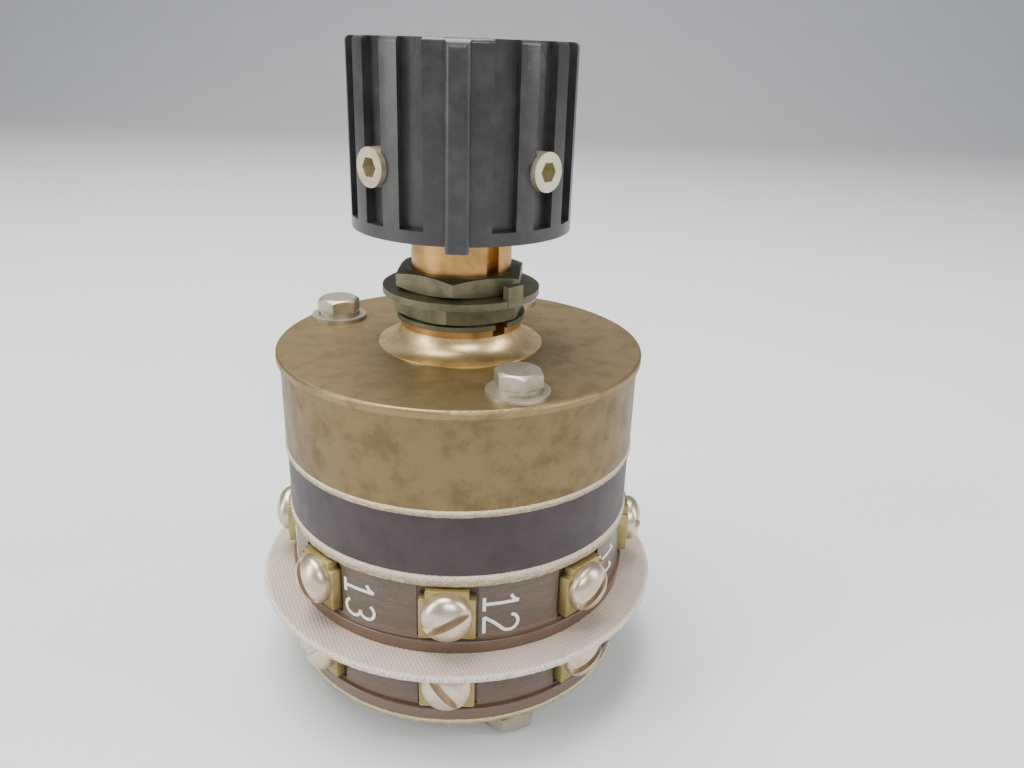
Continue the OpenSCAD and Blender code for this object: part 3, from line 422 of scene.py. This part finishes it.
disc_mesh = skin("canvas_disc", disc_rows)
disc_rim = (free_share > 0.9) + 0 * disc_azimuth
disc_mesh.attributes.new("rim", "FLOAT", "POINT").data.foreach_set("value", disc_rim.ravel().astype(float))
fit("canvas_disc", disc_mesh, "housing", "canvas", stiff_canvas(), "barrier_disc")

# ---- Terminal rings ----
# Two equal rings moulded in brown phenolic. Each has a numbered wall, a cove down to a thicker lip
# and eight slots: wide down to the lip, with a shallow, narrower notch in the middle of the floor.
terminals = 8
terminal_step = 2 * math.pi / terminals
front_terminal = math.radians(-0.6)
ring_names = ("upper", "lower")
wall_radius = 21.35
slot_half, slot_floor_radius = 3.45, 20.75


def moulded_phenolic():
    """Satin brown moulding with flow marks round the ring; paler and more reddish towards the foot as a
    painted highlight on the lower wall, cove and lip, and more olive at the very foot.
    """
    f = Finish("moulded_phenolic")
    streaks = f.noise(0.35, 3, 0.6, (1, 1, 5))
    pores = f.noise(9, 2, 0.6)
    dust = f.noise(14, 1, 0.5).ramp(0.70, 0.74)
    low = f.own("low")
    base = f.mix(streaks.ramp(0.35, 0.7), (0.055, 0.036, 0.021), (0.085, 0.052, 0.030))
    colour = f.layers(
        base,
        # Painted highlight: a paler, reddish tone that grows towards the foot of the ring.
        (low.ramp(0.2, 1.0) * 0.6, (0.150, 0.088, 0.060)),
        (low.ramp(0.98, 1.1) * 0.6, (0.095, 0.080, 0.040)),
        (pores.ramp(0.58, 0.72) * 0.3, (0.02, 0.013, 0.008)),
        (dust * 0.5, (0.6, 0.55, 0.45)),
    )
    return f.done(colour, 0.30 + 0.18 * streaks, relief=pores, depth=0.012, coat=0.25, coat_roughness=0.25)


def ring_rows(foot, top):
    """Radius, height, depth of opening and lowness of each row of a ring, once round its section.
    Opening 1 is the notch's height and 2 the slot's."""
    lip_radius = extent(f"{ring_names[0]}_deck_ring")[0]
    lip_height, cove = 1.6, 1.1
    notch_floor, slot_floor = 1.85, 2.1
    reach = lip_radius - wall_radius
    bore, shelf, shelf_height = 16.0, 12.6, 1.2
    height = top - foot
    sweep_angle = np.linspace(0.45, math.pi / 2, 9)[:-1]
    cove_points = np.stack([lip_radius - reach * np.sin(sweep_angle),
                            lip_height + cove * (1 - np.cos(sweep_angle))], -1)
    outer = rounded((lip_radius, 0, 0.18), (lip_radius, lip_height, 0.15),
                    *[tuple(p) for p in cove_points],
                    (wall_radius, lip_height + cove), (wall_radius, height, 0.12),
                    (wall_radius - 1.2, height), steps=5)
    wall = np.linspace(lip_height + cove + 0.3, height - 0.3, 7)
    z = np.unique(np.concatenate([outer[outer[:, 1] < height - 0.001, 1], wall]))
    nearest = 0.03
    z = z[(z > 0) & (abs(z - notch_floor) > nearest) & (abs(z - slot_floor) > nearest)]
    edges = np.repeat([notch_floor, slot_floor], 2)
    z = np.sort(np.concatenate([z, edges]))
    order = np.argsort(outer[:, 1], kind="stable")
    r = np.interp(z, outer[order, 1], outer[order, 0])
    second = np.concatenate([[False], np.diff(z) == 0])
    opening = np.where(z > slot_floor, 2, np.where(z > notch_floor, 1, 0))
    opening = np.where((z == notch_floor) & second, 1, opening)
    opening = np.where((z == slot_floor) & second, 2, np.where((z == slot_floor) & ~second, 1, opening))
    inner = np.array([[wall_radius - 0.12, height], [bore, height], [bore, shelf_height],
                      [shelf, shelf_height], [shelf, 0], [lip_radius - 0.18, 0]])
    inner_opening = np.array([2, 0, 0, 0, 0, 0])
    r = np.concatenate([r, inner[:, 0]])
    z = np.concatenate([z, inner[:, 1]])
    opening = np.concatenate([opening, inner_opening])
    return r, foot + z, opening, np.clip(1.1 - z / height * 1.6, 0, 2)


def slot_columns():
    """Place of each column of one terminal's share of a ring: its sideways distance within the slot,
    or its share of the way from this slot to the next; with the opening from which it sinks in."""
    notch_half = 2.4
    sideways = np.array([-slot_half, -slot_half, -notch_half, -notch_half, 0,
                         notch_half, notch_half, slot_half, slot_half])
    never = 9
    sinks_at = np.array([never, 2, 2, 1, 1, 1, 2, 2, never])
    land = np.linspace(0, 1, 26)[1:-1]
    share = np.concatenate([np.full(len(sideways), np.nan), land])
    sideways = np.concatenate([sideways, np.zeros(len(land))])
    sinks_at = np.concatenate([sinks_at, np.full(len(land), never)])
    return sideways, share, sinks_at


def terminal_ring(name, node, material):
    """Ring whose rows run round: on the open rows a slot's columns move in to its flat floor."""
    foot, top = extent(node)[1:]
    r, z, opening, low = ring_rows(foot, top)
    sideways, share, sinks_at = slot_columns()
    edge = np.arcsin(slot_half / r)[:, None]
    azimuth = np.where(np.isnan(share), np.arcsin(sideways / r[:, None]),
                       edge + np.nan_to_num(share) * (terminal_step - 2 * edge))
    local = around(r[:, None], z[:, None], azimuth)
    sunk = np.stack(np.broadcast_arrays(sideways, -slot_floor_radius, z[:, None]), -1)
    local = np.where((opening[:, None] >= sinks_at)[..., None], sunk, local)
    turns = front_terminal + terminal_step * np.arange(terminals)
    cosine, sine = np.cos(turns)[:, None], np.sin(turns)[:, None]
    x, y = local[:, None, :, 0], local[:, None, :, 1]
    rows = np.stack([x * cosine - y * sine, x * sine + y * cosine, local[:, None, :, 2] + 0 * cosine], -1)
    rows = rows.reshape(len(r), -1, 3)
    mesh = skin(name, rows)
    # Lowness of each point: the mask for the ring's painted highlight towards the foot.
    lowness = np.repeat(low, rows.shape[1])
    mesh.attributes.new("low", "FLOAT", "POINT").data.foreach_set("value", lowness)
    piece = fit(name, mesh, "housing", "phenolic", material, node)
    weld = piece.modifiers.new("weld", "WELD")
    weld.merge_threshold = 0.004 * MM
    bevel = piece.modifiers.new("soft_edges", "BEVEL")
    bevel.width = 0.09 * MM
    bevel.segments = 2
    bevel.limit_method = "ANGLE"
    bevel.angle_limit = math.radians(50)
    return piece


brown_phenolic = moulded_phenolic()
for ring_name in ring_names:
    terminal_ring(f"{ring_name}_numbered_ring", f"{ring_name}_deck_ring", brown_phenolic)

# ---- Terminal plates, screws and numbers ----
# A brass plate with a narrower upper end lies in each slot and carries a nickel-plated round-head
# screw. The upper ring's wall is numbered 11 to 18 beside its taps.


def turned(points, azimuth):
    """Points (sideways, up, outward) of a place on a wall, set round the shaft axis at an azimuth."""
    u, v, w = np.moveaxis(np.asarray(points, float), -1, 0)
    return np.stack([w * math.sin(azimuth) + u * math.cos(azimuth),
                     u * math.sin(azimuth) - w * math.cos(azimuth), v], -1)


def shrunk(outline, distance):
    """Closed outline with each corner moved inwards along the bisector of its two sides."""
    back = outline - np.roll(outline, 1, 0)
    onward = np.roll(outline, -1, 0) - outline
    back /= np.linalg.norm(back, axis=1)[:, None]
    onward /= np.linalg.norm(onward, axis=1)[:, None]
    normal = np.stack([-back[:, 1] - onward[:, 1], back[:, 0] + onward[:, 0]], -1)
    normal /= 1 + (back * onward).sum(1)[:, None]
    return outline + distance * normal


def slab(outline, foot, face, edge):
    """Rows (x, y, height) of a flat piece cut to a counter-clockwise outline, its edges broken."""
    turn = 0.3 * edge
    steps = [(edge, foot), (0, foot + edge), (0, face - edge), (turn, face - turn), (edge, face)]
    return np.stack([np.column_stack([shrunk(outline, inset), np.full(len(outline), height)])
                     for inset, height in steps])


def screw_head(radius, height, edge, slot_width, slot_depth, turn):
    """Rows (sideways, up, outward) across a domed head: each is a half-moon standing on the plate, and
    the rows within the screwdriver slot are cut off at its floor."""
    across = radius * np.sin(np.radians(np.linspace(-89, 89, 41)))
    slot = slot_width / 2
    nearest = 0.05
    across = across[abs(abs(across) - slot) > nearest]
    across = np.sort(np.concatenate([across, np.repeat([-slot, slot], 2)]))
    inside = abs(across) < slot
    inside[np.flatnonzero(across == -slot)[1]] = True
    inside[np.flatnonzero(across == slot)[0]] = True
    half = np.sqrt(radius ** 2 - across ** 2)[:, None]
    along = half * np.sin(np.radians(np.linspace(-90, 90, 29)))
    out = (across[:, None] ** 2 + along ** 2) / radius ** 2
    dome = edge + (height - edge) * np.sqrt(np.clip(1 - out, 0, 1))
    dome = np.where(inside[:, None], np.minimum(dome, height - slot_depth), dome)
    over = np.stack(np.broadcast_arrays(along, across[:, None], dome), -1)
    under = over[:, ::-1] * (1, 1, 0)
    rows = np.concatenate([over, under], 1)
    u = rows[..., 0] * math.cos(turn) - rows[..., 1] * math.sin(turn)
    v = rows[..., 0] * math.sin(turn) + rows[..., 1] * math.cos(turn)
    return np.stack([u, v, rows[..., 2]], -1)[:, ::-1]


def plated(name, colour, dull, roughness):
    """Plated metal: cloudy tarnish, fine scratches and darker specks where the plating is thin."""
    f = Finish(name)
    cloud = f.noise(0.45, 3, 0.6)
    fine = f.noise(6.0, 2, 0.6)
    scratch = f.noise(2.0, 2, 0.7, (1, 6, 1))
    mottled = f.layers(
        colour,
        (cloud.ramp(0.42, 0.70) * 0.7, dull),
        (fine.ramp(0.58, 0.75) * 0.45, tuple(0.45 * c for c in dull)),
        (scratch.ramp(0.62, 0.72) * 0.35, tuple(min(1, 1.25 * c) for c in colour)),
    )
    return f.done(mottled, roughness + 0.2 * cloud, metallic=0.92, relief=fine, depth=0.01)


plate_back, plate_face, plate_edge = 20.8, 22.25, 0.14
plate_foot, plate_shoulder = 2.5, 7.7
plate_half, tab_half = 3.2, 2.45
plate_clearance = 0.08
screw_height, screw_radius, screw_dome, screw_edge = 5.65, 2.92, 2.1, 0.45
slot_cut, slot_deep = 1.0, 1.1
upper_turns = (30, 35, -12, 64, 18, -40, 75, -57)
lower_turns = (-50, 22, 70, -15, 48, -66, 10, 40)
olive_brass = plated("olive_brass", (0.36, 0.29, 0.12), (0.20, 0.16, 0.06), 0.34)
dull_nickel = plated("dull_nickel", (0.62, 0.52, 0.40), (0.42, 0.33, 0.24), 0.24)
plate_top = extent("upper_deck_ring")[2] - extent("upper_deck_ring")[1] - plate_clearance
plate_outline = rounded(
    (-plate_half, plate_foot, 0.25), (plate_half, plate_foot, 0.25), (plate_half, plate_shoulder, 0.2),
    (tab_half, plate_shoulder, 0.15), (tab_half, plate_top, 0.15), (-tab_half, plate_top, 0.15),
    (-tab_half, plate_shoulder, 0.15), (-plate_half, plate_shoulder, 0.2), steps=3)
for ring_name, head_turns in zip(ring_names, (upper_turns, lower_turns)):
    ring_foot = extent(f"{ring_name}_deck_ring")[1]
    plates, heads = [], []
    for place, head_turn in enumerate(head_turns):
        azimuth = front_terminal + place * terminal_step
        plate = slab(plate_outline, plate_back, plate_face, plate_edge)
        plates.append(turned(plate + (0, ring_foot, 0), azimuth))
        head = screw_head(screw_radius, screw_dome, screw_edge, slot_cut, slot_deep, math.radians(head_turn))
        heads.append(turned(head + (0, ring_foot + screw_height, plate_face), azimuth))
    plate_mesh = skin(f"{ring_name}_binding_plates", *plates, closed=False)
    fit(plate_mesh.name, plate_mesh, "housing", "terminal_metal", olive_brass, f"{ring_name}_terminal_plates")
    head_mesh = skin(f"{ring_name}_binding_screws", *heads, closed=False)
    fit(head_mesh.name, head_mesh, "housing", "screw_metal", dull_nickel, f"{ring_name}_terminal_screws")


def arc(x, y, radius, first, last, steps=9):
    """Points along a circle's arc between two angles in degrees."""
    angle = np.radians(np.linspace(first, last, steps))
    return np.column_stack([x + radius * np.cos(angle), y + radius * np.sin(angle)])


def stroke(path, half, foot, face):
    """Rows of a flat painted stroke along a path, mitred at its bends."""
    along = np.gradient(path, axis=0)
    along /= np.linalg.norm(along, axis=1)[:, None]
    side = half * np.column_stack([-along[:, 1], along[:, 0]])
    corners = [(side, foot), (-side, foot), (-side, face), (side, face)]
    return np.stack([np.column_stack([path + shift, np.full(len(path), height)])
                     for shift, height in corners], 1)


digit_strokes = {
    "1": [
        [(0.0, 0.78), (0.12, 0.84), (0.22, 1.0)],
        [(0.22, 1.0), (0.22, 0.5), (0.22, 0)],
        [(0, 0), (0.22, 0), (0.44, 0)],
    ],
    "2": [
        np.concatenate([arc(0.28, 0.73, 0.27, 165, -35), [(0.22, 0.28), (0.02, 0.0)]]),
        [(0.02, 0), (0.3, 0), (0.56, 0)],
    ],
    "3": [arc(0.28, 0.75, 0.25, 150, -85), arc(0.28, 0.27, 0.27, 85, -150)],
    "4": [
        [(0.42, 0), (0.42, 0.5), (0.42, 1)],
        [(0.42, 1), (0.2, 0.65), (0, 0.3)],
        [(0, 0.3), (0.3, 0.3), (0.58, 0.3)],
    ],
    "5": [
        [(0.5, 1), (0.3, 1), (0.08, 1)],
        [(0.08, 1), (0.06, 0.8), (0.04, 0.58)],
        arc(0.26, 0.32, 0.31, 130, -145, 13),
    ],
    "6": [
        np.concatenate([[(0.46, 1.0)], arc(0.62, 0.4, 0.6, 112, 172)]),
        arc(0.28, 0.29, 0.28, 180, -180, 17),
    ],
    "8": [arc(0.28, 0.76, 0.24, -90, 270, 17), arc(0.28, 0.27, 0.27, 90, 450, 17)],
    "7": [[(0, 1), (0.28, 1), (0.54, 1)], [(0.54, 1), (0.34, 0.55), (0.2, 0)]],
}
digit_height = 4.0
digit_pitch = 0.75 + 0.44 * digit_height
stroke_half = 0.19
paint = 0.035
paint_root = 0.1
number_start = math.radians(11.0)
number_top = 7.2
upper_foot = extent("upper_deck_ring")[1]
number_strokes = []
for place in range(terminals):
    number = str(12 - place) if place < 2 else str(20 - place)
    azimuth = front_terminal + place * terminal_step
    for order, digit in enumerate(number):
        for path in digit_strokes[digit]:
            path = np.asarray(path, float) * digit_height
            glyph = stroke(path, stroke_half, -paint_root, paint)
            angle = azimuth + number_start + glyph[..., 1] / wall_radius
            height = number_top - glyph[..., 0] - order * digit_pitch
            number_strokes.append(around(wall_radius + glyph[..., 2], upper_foot + height, angle)[:, ::-1])


def number_paint():
    """Greyish white paint, worn thin in places."""
    f = Finish("number_paint")
    wear = f.noise(5, 3, 0.6)
    return f.done(f.layers((0.75, 0.78, 0.70), (wear.ramp(0.55, 0.75) * 0.5, (0.35, 0.33, 0.27))), 0.6,
                  relief=wear, depth=0.01)


fit("upper_ring_numbers", skin("upper_ring_numbers", *number_strokes, closed=False), "housing", "phenolic",
    number_paint())


def surface(slot, colour, dull, roughness, metallic, grain):
    """One slot's finish: two tones in clouds, fine grain and a rough, faintly uneven skin."""
    f = Finish(f"{slot}_finish")
    cloud = f.noise(0.35, 3, 0.6)
    fine = f.noise(grain, 2, 0.6)
    tone = f.layers(colour, (cloud.ramp(0.40, 0.70) * 0.6, dull), (fine.ramp(0.55, 0.75) * 0.5, dull))
    return f.done(tone, roughness + 0.2 * cloud, metallic=metallic, relief=fine, depth=0.015)


slot_finishes = {
    "laminate": ((0.42, 0.33, 0.22), (0.24, 0.17, 0.10), 0.6, 0, 5),
    "phenolic": ((0.045, 0.030, 0.020), (0.02, 0.015, 0.012), 0.3, 0, 4),
    "canvas": ((0.50, 0.40, 0.30), (0.36, 0.26, 0.18), 0.7, 0, 3),
    "dark_moulding": ((0.030, 0.018, 0.020), (0.016, 0.010, 0.012), 0.4, 0, 3),
    "chromated_can": ((0.20, 0.15, 0.070), (0.11, 0.075, 0.035), 0.36, 0.9, 5),
    "chromated_cover": ((0.27, 0.20, 0.095), (0.13, 0.095, 0.045), 0.36, 0.9, 5),
    "plated_fastener": ((0.46, 0.42, 0.33), (0.24, 0.21, 0.15), 0.35, 0.9, 6),
    "plated_nut": ((0.16, 0.15, 0.09), (0.07, 0.07, 0.045), 0.38, 0.9, 6),
    "bushing_brass": ((0.52, 0.30, 0.10), (0.26, 0.14, 0.05), 0.3, 0.95, 6),
    "collar_brass": ((0.85, 0.66, 0.34), (0.45, 0.28, 0.11), 0.24, 0.95, 6),
    "terminal_metal": ((0.36, 0.29, 0.12), (0.20, 0.16, 0.06), 0.34, 0.92, 6),
    "screw_metal": ((0.62, 0.52, 0.40), (0.42, 0.33, 0.24), 0.24, 0.92, 6),
    "bare_brass": ((0.60, 0.44, 0.18), (0.35, 0.24, 0.09), 0.3, 0.95, 6),
    "steel": ((0.45, 0.44, 0.42), (0.28, 0.27, 0.25), 0.3, 0.95, 6),
    "ceramic": ((0.62, 0.58, 0.50), (0.45, 0.41, 0.34), 0.6, 0, 4),
    "resistance_wire": ((0.42, 0.38, 0.33), (0.25, 0.22, 0.19), 0.35, 0.9, 6),
    "copper": ((0.60, 0.28, 0.15), (0.35, 0.15, 0.08), 0.3, 0.95, 6),
    "brown_insulator": ((0.16, 0.08, 0.04), (0.08, 0.04, 0.02), 0.5, 0, 4),
    "brush_carbon": ((0.03, 0.03, 0.03), (0.015, 0.015, 0.015), 0.6, 0, 6),
    "black_knob": ((0.022, 0.022, 0.024), (0.05, 0.045, 0.04), 0.22, 0, 4),
    "set_screw_steel": ((0.70, 0.64, 0.46), (0.40, 0.34, 0.22), 0.28, 0.9, 6),
}
finishes = {slot: surface(slot, *tones) for slot, tones in slot_finishes.items()}
for part in frame["record"]["subparts"]:
    part_materials = frame["nodes"][part["node"]].data.materials
    part_materials.clear()
    part_materials.append(finishes[part["material_slot"]])
